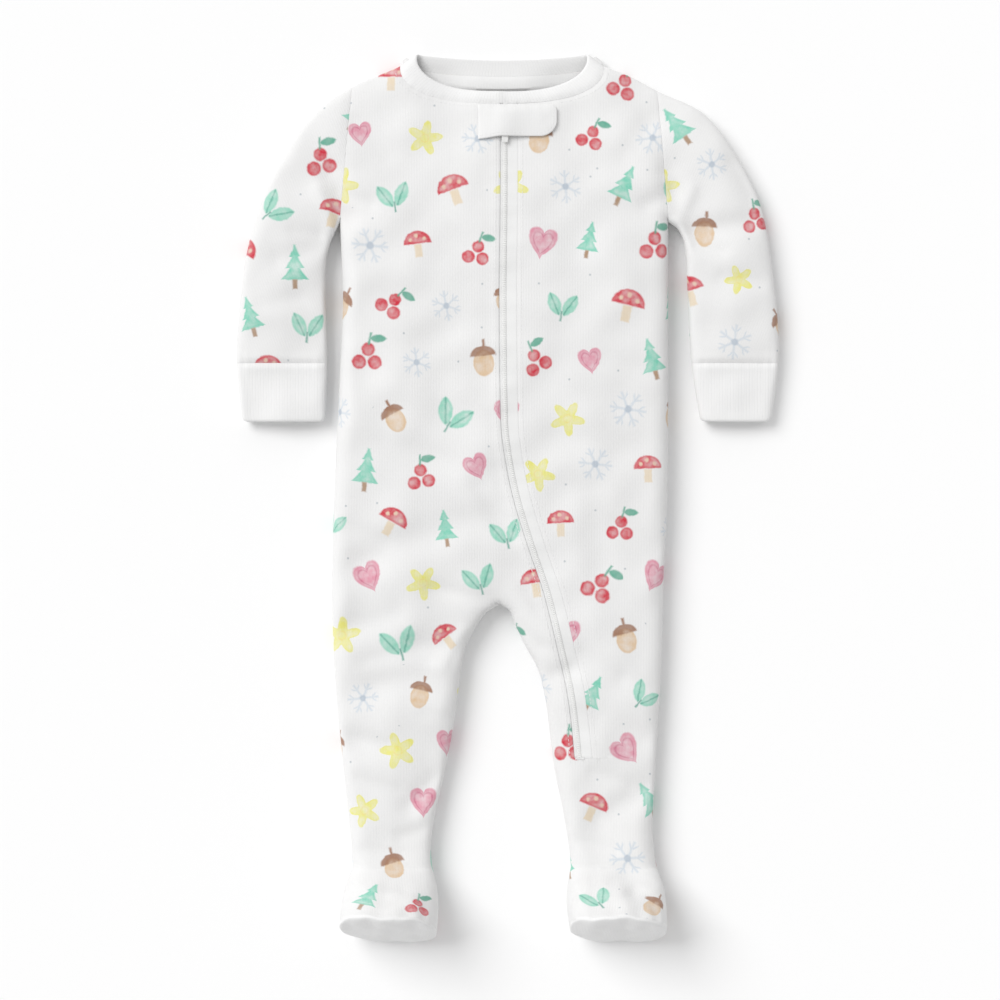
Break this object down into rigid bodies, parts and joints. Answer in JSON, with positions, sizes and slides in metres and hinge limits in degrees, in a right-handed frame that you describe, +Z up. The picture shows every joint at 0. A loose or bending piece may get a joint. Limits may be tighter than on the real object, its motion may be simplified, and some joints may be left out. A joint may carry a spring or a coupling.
{
  "type": "footed baby sleepsuit",
  "caption": "Footed baby sleepsuit in printed knit, laid out flat on its back, with a long zip into one leg, rib neckband and cuffs, chin tab and closed feet.",
  "frame": {"origin": "middle of the garment's outline, on the surface it lies on", "axes": "+X to the wearer's left, +Y to the neck, +Z up out of the front"},
  "size_m": [0.3798, 0.623, 0.0703],
  "materials": {
    "printed_jersey": "soft interlock knit, white with a small printed pattern",
    "white_rib": "fine rib knit, plain white",
    "sole_jersey": "plain white knit",
    "zip_tape": "woven tape, white",
    "zip_coil": "white nylon coil",
    "zip_slider": "white enamel"
  },
  "bodies": {
    "root": {"front_right": "printed_jersey", "front_left": "printed_jersey", "back": "printed_jersey", "sleeve_right": "printed_jersey", "sleeve_left": "printed_jersey", "cuff_right": "white_rib", "cuff_left": "white_rib", "neckband": "white_rib", "snap_tab": "white_rib", "zip_tape_right": "zip_tape", "zip_coil": "zip_coil", "zip_tape_left": "zip_tape", "zip_slider": "zip_slider", "zip_pull": "zip_slider", "foot_upper_right": "printed_jersey", "foot_upper_left": "printed_jersey", "sole_right": "sole_jersey", "sole_left": "sole_jersey"}
  },
  "joints": []
}
